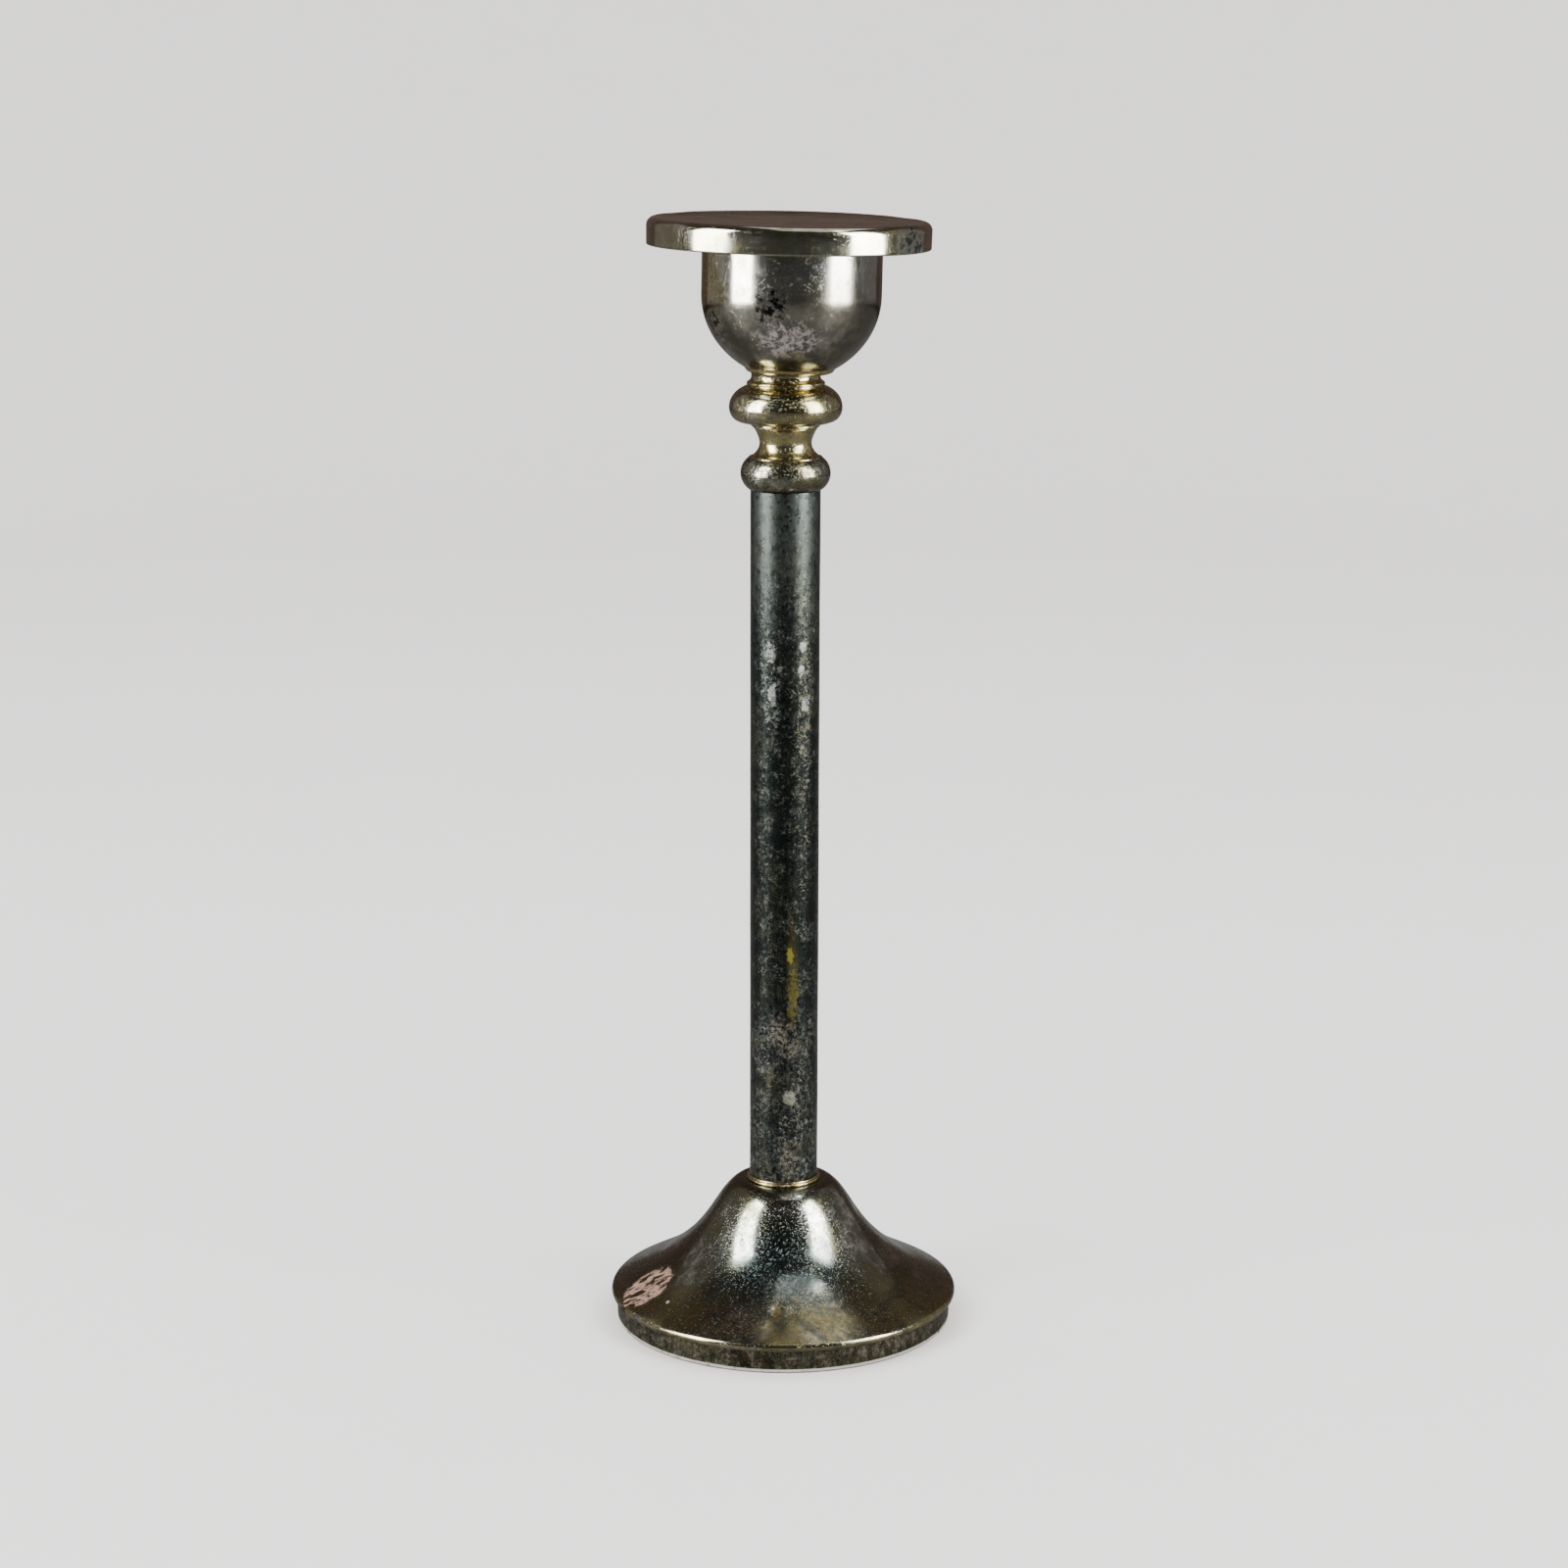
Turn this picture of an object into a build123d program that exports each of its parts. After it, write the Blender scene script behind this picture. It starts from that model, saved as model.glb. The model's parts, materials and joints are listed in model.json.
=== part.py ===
"""Silver-plated candlestick: turned and spun brass pieces stacked on one steel tie rod.

A weighted bell foot carries a plain tube column, a turned stack of ring, spool and knop,
and a deep cup.  A loose round pan with a turned-down rim rests on the cup's mouth and
lifts off.  The cup has worked loose with age: it stands a little off the column's axis
and leans towards +X, and the pan leans with it.

Units are millimetres.  +Z is up.  The origin is on the column's axis, at the table.
"""

import os
from math import asin, cos, degrees, radians, sin, sqrt

from build123d import *

os.makedirs("parts", exist_ok=True)

# ---- driving dimensions ------------------------------------------------------------
# foot
foot_radius = 56.4          # widest point of the bell, at its rolled edge
band_radius = 54.5          # upright band below the bell
band_wall = 1.5
band_bottom = 0.3           # the felt stands proud of the band by this much
band_top = 7.4
edge_roll = 1.6             # radius of the bell's rolled edge
bell_top = 46.5
bell_shoulder_start = 13.5  # radius where the flat top of the bell turns down
felt_thickness = 1.2
base_plate_thickness = 1.0
foot_fit_gap = 0.1          # base plate and felt inside the band

# column
collar_height = 1.6
column_radius = 11.0
column_wall = 1.0
column_top = 272.5
plug_length = 12.0
end_chamfer = 0.3

# turned stack on top of the column
lower_ring_radius = 14.15
lower_ring_height = 9.9
spool_height = 9.7
spool_waist = 8.2
fillet_ring_height = 1.1
fillet_ring_radius = 10.8
knop_radius = 17.75
knop_height = 15.4

# cup and pan, measured along the cup's own leaning axis
cup_lean = 1.1              # degrees, towards +X
cup_shift = 1.2             # offset of the cup's foot from the column's axis
cup_radius = 28.0
cup_height = 45.4           # foot ring to mouth
cup_foot_height = 1.7
cup_foot_radius = 14.2
bowl_rise = 26.5            # vertical half axis of the rounded bowl
pan_radius = 44.15
pan_drop = 8.5              # rim height
pan_shift = -1.1            # play of the pan towards -X on the cup
pan_lift_gap = 0.1          # clearance of the pan over the cup's mouth
sheet = 1.0                 # spun sheet thickness

# tie rod and its fastenings (M6)
rod_radius = 3.0
rod_clearance = 0.2         # bores of the turned pieces over the rod
nut_across_flats = 10.0
nut_height = 5.0
thread_gap = 0.05
rod_stand_out = 3.0         # rod past each nut

# ---- derived levels ----------------------------------------------------------------
bore_radius = rod_radius + rod_clearance
column_bottom = bell_top + collar_height
spool_bottom = column_top + lower_ring_height
spool_top = spool_bottom + spool_height
knop_bottom = spool_top + fillet_ring_height
knop_top = knop_bottom + knop_height
lean = radians(cup_lean)
knop_neck_radius = 10.9
cup_base = knop_top + knop_neck_radius * sin(lean)   # the leaning foot ring touches one side

lean_axis = Axis((cup_shift, 0, cup_base), (sin(lean), 0, cos(lean)))
cup_plane = Plane(origin=(cup_shift, 0, cup_base), x_dir=(cos(lean), 0, -sin(lean)), z_dir=(0, -1, 0))


def on_cup(across, along):
    """Point given across and along the cup's leaning axis."""
    x = cup_shift + across * cos(lean) + along * sin(lean)
    z = cup_base - across * sin(lean) + along * cos(lean)
    return (x, 0, z)


pan_seat = cup_height + pan_lift_gap
pan_plane = Plane(origin=on_cup(pan_shift, pan_seat), x_dir=cup_plane.x_dir, z_dir=cup_plane.z_dir)
pan_axis = Axis(on_cup(pan_shift, pan_seat), (sin(lean), 0, cos(lean)))


# ==== foot ==========================================================================
band_inner = band_radius - band_wall

with BuildPart() as felt_pad:
    with BuildSketch():
        Circle(band_inner - foot_fit_gap)
    extrude(amount=felt_thickness)
felt_pad.part.label = "felt_pad"

with BuildPart() as base_plate:
    with BuildSketch(Plane.XY.offset(felt_thickness)):
        Circle(band_inner - foot_fit_gap)
    extrude(amount=base_plate_thickness)
base_plate.part.label = "base_plate"

with BuildPart() as foot_band:
    with BuildSketch(Plane.XY.offset(band_bottom)):
        Circle(band_radius)
        Circle(band_inner, mode=Mode.SUBTRACT)
    extrude(amount=band_top - band_bottom)
    fillet(foot_band.edges().group_by(Axis.Z)[0].filter_by(GeomType.CIRCLE).sort_by(SortBy.RADIUS)[-1], radius=0.5)
foot_band.part.label = "foot_band"

# The weight is a cast cone on the base plate, clear of the bell and of the lower nut.
weight_bottom = felt_thickness + base_plate_thickness
weight_radius = 49.0
weight_edge_height = 6.0
weight_top = 22.0
weight_top_radius = 25.0
weight_bore = 9.0

with BuildPart() as base_weight:
    with BuildSketch(Plane.XZ):
        with BuildLine():
            Polyline(
                (weight_bore, weight_bottom),
                (weight_radius, weight_bottom),
                (weight_radius, weight_bottom + weight_edge_height),
                (weight_top_radius, weight_top),
                (weight_bore, weight_top),
                close=True,
            )
        make_face()
    revolve(axis=Axis.Z)
base_weight.part.label = "base_weight"

# Spun bell: flat top, round shoulder, steep flank that flares out to a rolled edge.
roll_centre = (foot_radius - edge_roll, band_top + 1.4)
flare_end = (roll_centre[0] + edge_roll * 0.48, roll_centre[1] + edge_roll * 0.877)

with BuildPart() as base_bell:
    with BuildSketch(Plane.XZ):
        with BuildLine():
            flat = Line((0, bell_top), (bell_shoulder_start, bell_top))
            flare = Spline(
                flat @ 1,
                (17.9, 44.0),
                (22.3, 38.0),
                (27.8, 30.0),
                (35.8, 22.0),
                (45.0, 15.8),
                flare_end,
                tangents=[(1, 0), (1.8, -1)],
            )
            Polyline(flare @ 1, (0, flare_end[1]), flat @ 0)
        make_face()
    revolve(axis=Axis.Z)
    offset(amount=-sheet, openings=base_bell.faces().sort_by(Axis.Z)[0])
    Cylinder(bore_radius, 4 * bell_top, mode=Mode.SUBTRACT)
    with BuildSketch(Plane.XZ):
        with Locations(roll_centre):
            Circle(edge_roll)
    revolve(axis=Axis.Z)
    split(bisect_by=Plane.XY.offset(band_top), keep=Keep.TOP)
base_bell.part.label = "base_bell"

# ==== column ========================================================================
# Collar ring at the column's foot: a bead with a narrower fillet above it.
with BuildPart() as column_collar:
    with BuildSketch(Plane.XZ):
        with BuildLine():
            bottom = Line((bore_radius, bell_top), (11.4, bell_top))
            bead = ThreePointArc(bottom @ 1, (11.88, bell_top + 0.5), (11.4, bell_top + 1.0))
            Polyline(
                bead @ 1,
                (11.4, column_bottom),
                (bore_radius, column_bottom),
                bottom @ 0,
            )
        make_face()
    revolve(axis=Axis.Z)
column_collar.part.label = "column_collar"

with BuildPart() as column_tube:
    with BuildSketch(Plane.XY.offset(column_bottom)):
        Circle(column_radius)
        Circle(column_radius - column_wall, mode=Mode.SUBTRACT)
    extrude(amount=column_top - column_bottom)
    chamfer(column_tube.edges().filter_by(GeomType.CIRCLE).sort_by(SortBy.RADIUS)[-2:], length=end_chamfer)
column_tube.part.label = "column_tube"

plug_radius = column_radius - column_wall - foot_fit_gap

with BuildPart() as column_bottom_plug:
    with BuildSketch(Plane.XY.offset(column_bottom)):
        Circle(plug_radius)
        Circle(bore_radius, mode=Mode.SUBTRACT)
    extrude(amount=plug_length)
column_bottom_plug.part.label = "column_bottom_plug"

with BuildPart() as column_top_plug:
    with BuildSketch(Plane.XY.offset(column_top - plug_length)):
        Circle(plug_radius)
        Circle(bore_radius, mode=Mode.SUBTRACT)
    extrude(amount=plug_length)
column_top_plug.part.label = "column_top_plug"

# ==== turned stack ==================================================================
with BuildPart() as lower_ring:
    with BuildSketch(Plane.XZ):
        with BuildLine():
            under = Line((bore_radius, column_top), (11.4, column_top))
            bulge = ThreePointArc(
                under @ 1,
                (lower_ring_radius, column_top + 0.53 * lower_ring_height),
                (11.7, spool_bottom),
            )
            Polyline(bulge @ 1, (bore_radius, spool_bottom), under @ 0)
        make_face()
    revolve(axis=Axis.Z)
lower_ring.part.label = "lower_ring"

# Waisted spool: a long easy curve above the waist and a tighter one below it.
waist_level = spool_bottom + 4.0

with BuildPart() as neck_spool:
    with BuildSketch(Plane.XZ):
        with BuildLine():
            foot_line = Line((bore_radius, spool_bottom), (11.5, spool_bottom))
            lip = Line(foot_line @ 1, (11.5, spool_bottom + 0.4))
            lower = RadiusArc(lip @ 1, (spool_waist, waist_level), 3.45)
            upper = TangentArc(lower @ 1, (10.2, spool_top - 0.2), tangent=(0, 1))
            Polyline(upper @ 1, (10.2, spool_top), (bore_radius, spool_top), foot_line @ 0)
        make_face()
    revolve(axis=Axis.Z)
neck_spool.part.label = "neck_spool"

with BuildPart() as fillet_ring:
    with BuildSketch(Plane.XY.offset(spool_top)):
        Circle(fillet_ring_radius)
        Circle(bore_radius, mode=Mode.SUBTRACT)
    extrude(amount=fillet_ring_height)
    fillet(fillet_ring.edges().filter_by(GeomType.CIRCLE).sort_by(SortBy.RADIUS)[-2:], radius=0.4)
fillet_ring.part.label = "fillet_ring"

# Knop: flattened ball below, a thin fillet on its top and a short flared neck.
knop_fillet_level = knop_bottom + 12.0
knop_neck_level = knop_fillet_level + 1.0

with BuildPart() as knop:
    with BuildSketch(Plane.XZ):
        with BuildLine():
            underside = Line((bore_radius, knop_bottom), (11.6, knop_bottom))
            ball = Spline(
                underside @ 1,
                (16.3, knop_bottom + 1.4),
                (knop_radius, knop_bottom + 4.9),
                (16.4, knop_bottom + 8.9),
                (12.0, knop_fillet_level - 0.15),
                tangents=[(1, 0.12), (-1, 0.35)],
            )
            ledge = Line(ball @ 1, (12.0, knop_fillet_level))
            fillet_edge = ThreePointArc(ledge @ 1, (12.3, knop_fillet_level + 0.5), (12.0, knop_neck_level))
            neck = ThreePointArc(fillet_edge @ 1, (11.05, knop_neck_level + 0.9), (knop_neck_radius, knop_top))
            Polyline(neck @ 1, (bore_radius, knop_top), underside @ 0)
        make_face()
    revolve(axis=Axis.Z)
knop.part.label = "knop"

# ==== cup ===========================================================================
cup_hole = 5.0              # oversize, so the cup can shift on the rod

with BuildPart() as cup_foot_ring:
    with BuildSketch(cup_plane):
        with BuildLine():
            seat = Line((cup_hole, 0), (12.2, 0))
            step = ThreePointArc(seat @ 1, (13.6, 0.6), (cup_foot_radius, cup_foot_height))
            Polyline(step @ 1, (cup_hole, cup_foot_height), seat @ 0)
        make_face()
    revolve(axis=lean_axis)
cup_foot_ring.part.label = "cup_foot_ring"

# The bowl is a quarter ellipse from the flat floor up to the straight wall.
bowl_level = 24.4
floor_drop = (bowl_level - cup_foot_height) / bowl_rise
floor_radius = cup_radius * sqrt(1 - floor_drop**2)
floor_angle = degrees(asin(floor_drop))

with BuildPart() as cup:
    with BuildSketch(cup_plane):
        with BuildLine():
            floor = Line((0, cup_foot_height), (floor_radius, cup_foot_height))
            bowl = EllipticalCenterArc(
                (0, bowl_level),
                cup_radius,
                bowl_rise,
                start_angle=-floor_angle,
                arc_size=floor_angle,
            )
            Polyline(bowl @ 1, (cup_radius, cup_height), (0, cup_height), floor @ 0)
        make_face()
    revolve(axis=lean_axis)
    offset(amount=-sheet, openings=cup.faces().sort_by(lean_axis)[-1])
    with Locations(Plane(origin=lean_axis.position, z_dir=lean_axis.direction)):
        Cylinder(cup_hole, 4 * cup_foot_height, mode=Mode.SUBTRACT)
cup.part.label = "cup"

# ==== pan ===========================================================================
# Shallow dished plate with a rounded shoulder and a rim turned down, slightly drawn in.
dish_radius = 37.0
plate_top = sheet
rim_top = 1.75
rim_bottom = rim_top - pan_drop

with BuildPart() as drip_pan:
    with BuildSketch(pan_plane):
        with BuildLine():
            plate = Line((0, plate_top), (dish_radius, plate_top))
            dish_edge = Spline(plate @ 1, (41.6, rim_top), tangents=[(1, 0), (1, 0)])
            shoulder = TangentArc(dish_edge @ 1, (pan_radius, rim_top - 2.5), tangent=(1, 0))
            rim = Line(shoulder @ 1, (pan_radius - 0.8, rim_bottom))
            Polyline(rim @ 1, (0, rim_bottom), plate @ 0)
        make_face()
    revolve(axis=pan_axis)
    offset(amount=-sheet, openings=drip_pan.faces().sort_by(pan_axis)[0])
drip_pan.part.label = "drip_pan"

pan_collar_radius = 25.2
pan_collar_depth = 6.0
pan_collar_wall = 0.8

with BuildPart() as pan_collar:
    with BuildSketch(pan_plane):
        with BuildLine():
            Polyline(
                (pan_collar_radius, 0),
                (pan_collar_radius, -pan_collar_depth),
                (pan_collar_radius - pan_collar_wall, -pan_collar_depth),
                (pan_collar_radius - pan_collar_wall, 0),
                close=True,
            )
        make_face()
    revolve(axis=pan_axis)
pan_collar.part.label = "pan_collar"

# ==== tie rod and fastenings ========================================================
washer_thickness = 1.6
cup_washer_radius = 9.0
lean_run = cup_shift + nut_across_flats / sqrt(3)
cup_nut_bottom = cup_base + cup_foot_height + sheet + washer_thickness + lean_run * sin(lean) + 0.02

backing_disc_thickness = 2.0
backing_disc_radius = 12.0
lock_washer_thickness = 1.2
lock_washer_radius = 5.9
backing_disc_bottom = bell_top - sheet - backing_disc_thickness
lock_washer_bottom = backing_disc_bottom - lock_washer_thickness
base_nut_bottom = lock_washer_bottom - nut_height
rod_bottom = base_nut_bottom - rod_stand_out
rod_top = cup_nut_bottom + nut_height + rod_stand_out

with BuildPart() as tie_rod:
    with BuildSketch(Plane.XY.offset(rod_bottom)):
        Circle(rod_radius)
    extrude(amount=rod_top - rod_bottom)
    chamfer(tie_rod.edges().filter_by(GeomType.CIRCLE), length=0.6)
tie_rod.part.label = "tie_rod"

with BuildPart() as bell_backing_disc:
    with BuildSketch(Plane.XY.offset(backing_disc_bottom)):
        Circle(backing_disc_radius)
        Circle(bore_radius, mode=Mode.SUBTRACT)
    extrude(amount=backing_disc_thickness)
bell_backing_disc.part.label = "bell_backing_disc"

# Split spring washer, drawn flat as it is when it is tightened.
with BuildPart() as base_lock_washer:
    with BuildSketch(Plane.XY.offset(lock_washer_bottom)):
        Circle(lock_washer_radius)
        Circle(bore_radius, mode=Mode.SUBTRACT)
        with Locations((lock_washer_radius, 0)):
            Rectangle(lock_washer_radius + bore_radius, 0.6, mode=Mode.SUBTRACT)
    extrude(amount=lock_washer_thickness)
base_lock_washer.part.label = "base_lock_washer"

# The cup's washer lies flat on the leaning floor, centred on the rod.
washer_plane = Plane(
    origin=on_cup(-cup_shift, cup_foot_height + sheet),
    x_dir=cup_plane.x_dir,
    z_dir=lean_axis.direction,
)
with BuildPart() as cup_washer:
    with BuildSketch(washer_plane):
        Circle(cup_washer_radius)
        Circle(bore_radius + 0.2, mode=Mode.SUBTRACT)
    extrude(amount=washer_thickness)
cup_washer.part.label = "cup_washer"

with BuildPart() as cup_nut:
    with BuildSketch(Plane.XY.offset(cup_nut_bottom)):
        RegularPolygon(nut_across_flats / 2, 6, major_radius=False)
        Circle(rod_radius + thread_gap, mode=Mode.SUBTRACT)
    extrude(amount=nut_height)
cup_nut.part.label = "cup_nut"

with BuildPart() as base_nut:
    with BuildSketch(Plane.XY.offset(base_nut_bottom)):
        RegularPolygon(nut_across_flats / 2, 6, major_radius=False)
        Circle(rod_radius + thread_gap, mode=Mode.SUBTRACT)
    extrude(amount=nut_height)
base_nut.part.label = "base_nut"

# ==== write the pieces ==============================================================
pieces = [
    felt_pad, base_plate, foot_band, base_weight, base_bell,
    column_collar, column_bottom_plug, column_tube, column_top_plug,
    lower_ring, neck_spool, fillet_ring, knop,
    cup_foot_ring, cup, cup_washer, cup_nut,
    drip_pan, pan_collar,
    tie_rod, bell_backing_disc, base_lock_washer, base_nut,
]
for piece in pieces:
    export_step(piece.part, f"parts/{piece.part.label}.step")
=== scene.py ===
"""Looks of the silver-plated candlestick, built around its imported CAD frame.

Every turned or spun piece that can be seen is lathed again here as a fine closed mesh with
the small waves, dents and soft corners of handwork, and stands for its CAD node.  The hidden
pieces keep their CAD meshes.  Outlines are in millimetres, across and along the piece's own
axis; meshes are in metres.
"""

import json

import bpy
import numpy as np
from mathutils import Euler, Matrix, Vector, noise


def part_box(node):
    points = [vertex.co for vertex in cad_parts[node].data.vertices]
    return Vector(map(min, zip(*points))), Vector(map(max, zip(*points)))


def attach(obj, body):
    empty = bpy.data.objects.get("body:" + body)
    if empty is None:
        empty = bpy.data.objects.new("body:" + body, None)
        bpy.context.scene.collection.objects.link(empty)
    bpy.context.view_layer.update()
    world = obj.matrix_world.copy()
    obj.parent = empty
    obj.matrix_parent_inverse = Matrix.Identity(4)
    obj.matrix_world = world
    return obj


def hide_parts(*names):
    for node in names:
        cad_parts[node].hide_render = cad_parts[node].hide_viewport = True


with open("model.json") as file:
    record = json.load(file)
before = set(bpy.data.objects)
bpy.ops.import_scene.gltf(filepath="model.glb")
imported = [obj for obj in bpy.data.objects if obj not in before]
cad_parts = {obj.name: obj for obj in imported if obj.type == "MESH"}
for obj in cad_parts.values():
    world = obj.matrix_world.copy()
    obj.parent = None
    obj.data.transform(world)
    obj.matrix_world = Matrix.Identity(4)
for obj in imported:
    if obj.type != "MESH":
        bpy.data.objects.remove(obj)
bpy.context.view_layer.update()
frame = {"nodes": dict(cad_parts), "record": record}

MM = 0.001
FINE = 0.5          # mm between outline points
BORE = 3.2          # mm, radius of the rod's hole through the turned pieces
CUP_BORE = 5.0      # mm, the same through the cup and its foot ring
CUP_FLOOR = 1.7     # mm, height of the foot ring under the cup
ROUND = 0.2         # mm, softened corner of a turned piece


# ---- places taken from the frame ---------------------------------------------------
def low(node, axis=2):
    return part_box(node)[0][axis] / MM


def high(node, axis=2):
    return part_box(node)[1][axis] / MM


record = frame["record"]
lift = record["behaviour"]["joints"][0]
seat = next(m for m in record["mounts"] if m["name"] == "candle_seat")
LEAN = Vector(lift["axis"]).normalized()
ACROSS = Vector((LEAN.z, 0, -LEAN.x))
SHEET = 1.0         # mm, thickness of the spun pieces
CUP_HEIGHT = 45.4   # mm, from the foot ring's underside to the lip
PAN_GAP = 0.1       # mm, between the lip and the pan
PAN_SHIFT = -1.1    # mm, the pan's middle off the cup's axis


def axis_frame(origin):
    """Matrix whose Z is the leaning axis and whose origin is given in metres."""
    side = LEAN.cross(ACROSS)
    rows = [[ACROSS[i], side[i], LEAN[i], origin[i]] for i in range(3)]
    return Matrix(rows + [[0, 0, 0, 1]])


pan_origin = Vector(seat["pos_m"]) - LEAN * SHEET * MM
cup_origin = pan_origin - LEAN * (CUP_HEIGHT + PAN_GAP) * MM - ACROSS * PAN_SHIFT * MM
PAN_FRAME = axis_frame(pan_origin)
CUP_FRAME = axis_frame(cup_origin)
UPRIGHT = Matrix.Identity(4)


# ---- outlines ----------------------------------------------------------------------
def run(start, end, step=FINE):
    """Points of a straight stretch, without its end."""
    start, end = np.array(start, float), np.array(end, float)
    count = max(1, int(np.ceil(np.linalg.norm(end - start) / step)))
    return [start + (end - start) * i / count for i in range(count)]


def arc(start, middle, end, step=FINE * 0.6):
    """Points of the arc through three points, without its end."""
    (ax, ay), (bx, by), (cx, cy) = start, middle, end
    d = 2 * (ax * (by - cy) + bx * (cy - ay) + cx * (ay - by))
    sa, sb, sc = ax**2 + ay**2, bx**2 + by**2, cx**2 + cy**2
    ux = (sa * (by - cy) + sb * (cy - ay) + sc * (ay - by)) / d
    uy = (sa * (cx - bx) + sb * (ax - cx) + sc * (bx - ax)) / d
    angles = [np.arctan2(y - uy, x - ux) for x, y in (start, middle, end)]
    turn = (angles[2] - angles[0]) % (2 * np.pi)
    if (angles[1] - angles[0]) % (2 * np.pi) > turn:
        turn -= 2 * np.pi
    radius = np.hypot(ax - ux, ay - uy)
    count = max(6, int(np.ceil(abs(turn) * radius / step)))
    spread = angles[0] + turn * np.arange(count) / count
    return [np.array((ux + radius * np.cos(t), uy + radius * np.sin(t))) for t in spread]


def spline(points, start_way, end_way, step=FINE):
    """Points of a smooth curve through the given points, without its end."""
    p = np.array(points, float)
    chord = np.linalg.norm(np.diff(p, axis=0), axis=1)
    n = len(p)
    a, b = np.zeros((n, n)), np.zeros((n, 2))
    a[0, 0] = a[-1, -1] = 1
    b[0] = np.array(start_way) / np.linalg.norm(start_way)
    b[-1] = np.array(end_way) / np.linalg.norm(end_way)
    for i in range(1, n - 1):
        before, after = chord[i - 1], chord[i]
        a[i, i - 1], a[i, i], a[i, i + 1] = after, 2 * (before + after), before
        b[i] = 3 * (after * (p[i] - p[i - 1]) / before + before * (p[i + 1] - p[i]) / after)
    way = np.linalg.solve(a, b)
    found = []
    for i in range(n - 1):
        count = max(2, int(np.ceil(chord[i] / step)))
        for t in np.arange(count) / count:
            h = chord[i]
            found.append(
                (2 * t**3 - 3 * t**2 + 1) * p[i]
                + (t**3 - 2 * t**2 + t) * h * way[i]
                + (3 * t**2 - 2 * t**3) * p[i + 1]
                + (t**3 - t**2) * h * way[i + 1]
            )
    return found


def corner(before, at, after, radius=ROUND):
    """Points of a softened corner: a short arc in place of the sharp point."""
    before, at, after = (np.array(v, float) for v in (before, at, after))
    into = (before - at) / np.linalg.norm(before - at)
    out = (after - at) / np.linalg.norm(after - at)
    bulge = (into + out) / 2
    middle = at + bulge * radius * 0.6
    start, end = at + into * radius, at + out * radius
    return [start + into * 0.05, *arc(start, middle, end, radius / 3), end, end + out * 0.05]


def softened(points, radius=ROUND, step=FINE):
    """Closed outline through the points with straight runs and softened corners."""
    count = len(points)
    found = []
    for i, at in enumerate(points):
        before, after = points[i - 1], points[(i + 1) % count]
        bend = corner(before, at, after, radius)
        following = points[(i + 2) % count]
        next_bend = corner(at, after, following, radius)
        found += bend[:-1] + run(bend[-1], next_bend[0], step)
    return found


def beside(points, distance):
    """The same open curve moved sideways, to the right of its own direction."""
    p = np.array(points, float)
    way = np.gradient(p, axis=0)
    way /= np.linalg.norm(way, axis=1)[:, None]
    return list(p + distance * np.stack([way[:, 1], -way[:, 0]], axis=1))


# ---- lathe -------------------------------------------------------------------------
def waves(place, size, height, seed=0.0):
    """Gentle unevenness of a hand-spun surface, in mm."""
    return height * noise.noise(place / size + Vector((seed, 0, 0)))


def lathe(name, outline, turning=UPRIGHT, segments=288, relief=None, closed=True):
    """Mesh of revolution round the turning frame's Z. relief moves its points outwards, in mm."""
    points = np.array(outline, float)
    ahead, behind = np.roll(points, -1, axis=0), np.roll(points, 1, axis=0)
    way = ahead - behind
    way /= np.maximum(np.linalg.norm(way, axis=1), 1e-9)[:, None]
    area = np.sum(points[:, 0] * ahead[:, 1] - ahead[:, 0] * points[:, 1])
    outward = np.stack([way[:, 1], -way[:, 0]], axis=1) * np.sign(area)
    verts, rings = [], []
    for (r, z), (nr, nz) in zip(points, outward):
        if r < 1e-4:
            place = Vector((0, 0, z))
            place.z += np.sign(nz) * (relief(place, 0.0) if relief else 0.0)
            rings.append([len(verts)])
            verts.append(turning @ (place * MM))
            continue
        ring = []
        for k in range(segments):
            angle = 2 * np.pi * k / segments
            c, s = np.cos(angle), np.sin(angle)
            place = Vector((r * c, r * s, z))
            push = relief(place, angle) if relief else 0.0
            place += Vector((nr * c, nr * s, nz)) * push
            ring.append(len(verts))
            verts.append(turning @ (place * MM))
        rings.append(ring)
    faces = []
    following = rings[1:] + (rings[:1] if closed else [])
    for a, b in zip(rings, following):
        for k in range(segments):
            m = (k + 1) % segments
            if len(a) == 1 and len(b) == 1:
                continue
            if len(a) == 1:
                faces.append((a[0], b[m], b[k]))
            elif len(b) == 1:
                faces.append((a[k], a[m], b[0]))
            else:
                faces.append((a[k], a[m], b[m], b[k]))
    if area < 0:
        faces = [face[::-1] for face in faces]
    mesh = bpy.data.meshes.new(name)
    mesh.from_pydata(verts, [], faces)
    mesh.update()
    mesh.shade_smooth()
    mesh.set_sharp_from_angle(angle=np.radians(35))
    piece = bpy.data.objects.new(name, mesh)
    bpy.context.scene.collection.objects.link(piece)
    return piece


def stand_for(piece, node, body, material):
    """Puts the finished piece in place of its CAD node."""
    piece.data.materials.append(material)
    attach(piece, body)
    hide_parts(node)


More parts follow.
